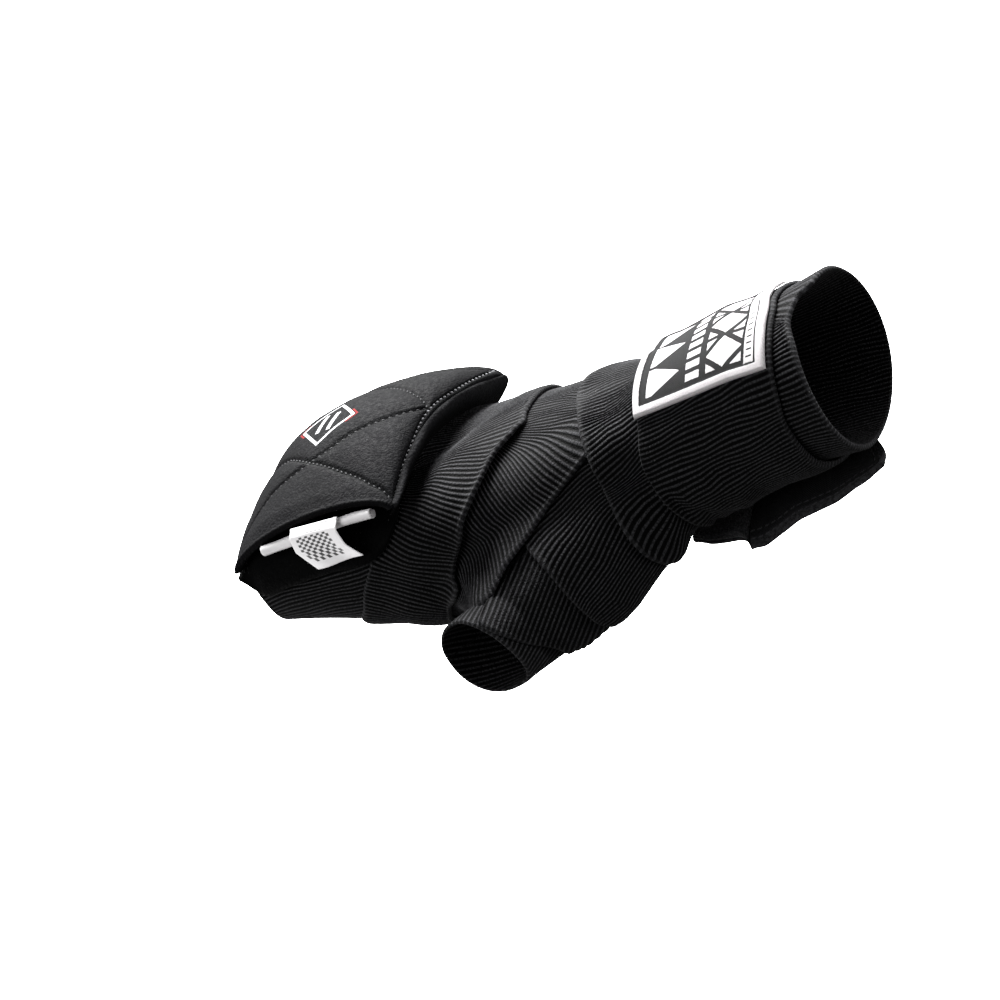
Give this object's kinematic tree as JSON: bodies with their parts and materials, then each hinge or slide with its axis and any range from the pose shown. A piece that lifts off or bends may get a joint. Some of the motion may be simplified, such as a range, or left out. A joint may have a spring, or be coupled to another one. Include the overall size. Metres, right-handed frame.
{
  "type": "padded knuckle wrap",
  "caption": "Elastic hand wrap wound round a right hand, thumb and wrist, with a quilted knuckle pad, a sewn wrist patch and a hook and loop tab.",
  "frame": {"origin": "middle of the wrist, on the axis of the hollow, where the hand sits", "axes": "+X up the forearm, +Z the back of the hand, -Y the thumb side"},
  "size_m": [0.2002, 0.1086, 0.0812],
  "materials": {
    "band": "ribbed black elastic webbing, matt",
    "pad": "quilted black neoprene with a knit face",
    "filling": "dark closed-cell foam",
    "binding": "narrow black sewn binding",
    "label": "white satin ribbon",
    "patch": "black field with raised white embroidery",
    "tab": "dark woven strap, double stitched",
    "loop_pile": "fuzzy black loop pile"
  },
  "bodies": {
    "root": {"thumb_turn": "band", "heel_turn": "band", "palm_turn_front": "band", "cross_turn": "band", "palm_turn_back": "band", "wrist_turn_inner": "band", "wrist_turn_outer": "band", "closure_band": "band", "thumb_loop": "band", "pad_top_panel": "pad", "pad_base": "pad", "pad_rear_wall": "pad", "pad_core": "filling", "pad_binding": "binding", "label_roll": "label", "label_flap": "label", "wrist_patch": "patch", "closure_tab": "tab", "tab_loop_patch": "loop_pile"}
  },
  "joints": []
}
